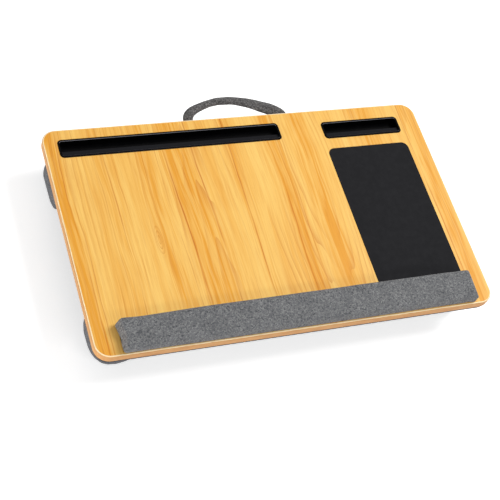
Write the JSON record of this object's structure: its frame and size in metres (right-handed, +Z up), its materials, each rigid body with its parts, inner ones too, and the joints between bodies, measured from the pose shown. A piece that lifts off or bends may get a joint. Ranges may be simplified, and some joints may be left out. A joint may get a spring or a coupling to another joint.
{
  "type": "cushioned lap desk",
  "caption": "Cushioned lap desk: wood-grain board with tablet and phone slots, mouse pad and fabric wrist rest, on two bolsters, with a hinged fabric carry strap.",
  "frame": {"origin": "on the floor, under the middle of the whole desk with its strap", "axes": "+X to the user's right, +Y away from the user towards the carry strap, +Z up out of the work surface"},
  "size_m": [0.56, 0.3879, 0.0835],
  "materials": {
    "core_board": "raw fibreboard, close and matt",
    "wood_laminate": "satin wood-grain laminate, grain front to back",
    "balance_sheet": "plain balancing laminate",
    "edge_strip": "satin wood-tone edge strip",
    "black_plastic": "glossy moulded black plastic",
    "pad_sheet": "matt charcoal synthetic leather",
    "adhesive": "adhesive film, tape or set glue",
    "heather_fabric": "heather grey woven polyester",
    "dark_fabric": "dark grey woven polyester",
    "foam": "soft polyurethane foam",
    "bead_fill": "polystyrene bead filling",
    "hardboard": "brown hardboard",
    "webbing": "dark polyester webbing",
    "steel": "zinc plated steel"
  },
  "bodies": {
    "desk": {"top_panel": "core_board", "top_laminate": "wood_laminate", "bottom_laminate": "balance_sheet", "edge_band": "edge_strip", "tablet_tray": "black_plastic", "phone_tray": "black_plastic", "mouse_pad": "pad_sheet", "mouse_pad_adhesive": "adhesive", "wrist_rest_cover": "heather_fabric", "wrist_rest_core": "foam", "wrist_rest_base": "hardboard", "wrist_rest_tapes": "adhesive", "backing_board": "hardboard", "base_fabric": "dark_fabric", "hem_staples": "steel", "glue_strips": "adhesive", "front_bolster_cover": "dark_fabric", "front_bolster_fill": "bead_fill", "rear_bolster_cover": "dark_fabric", "rear_bolster_fill": "bead_fill", "left_strap_end": "webbing", "right_strap_end": "webbing", "strap_plates": "steel", "strap_screws": "steel"},
    "carry_strap": {"strap_sleeve": "dark_fabric", "strap_core": "webbing"}
  },
  "joints": [
    {"name": "strap_hinge", "type": "hinge", "parent": "desk", "child": "carry_strap", "pos_m": [0.003, 0.1529, 0.0537], "axis": [1, 0, 0], "range_deg": [-90, 90]}
  ]
}
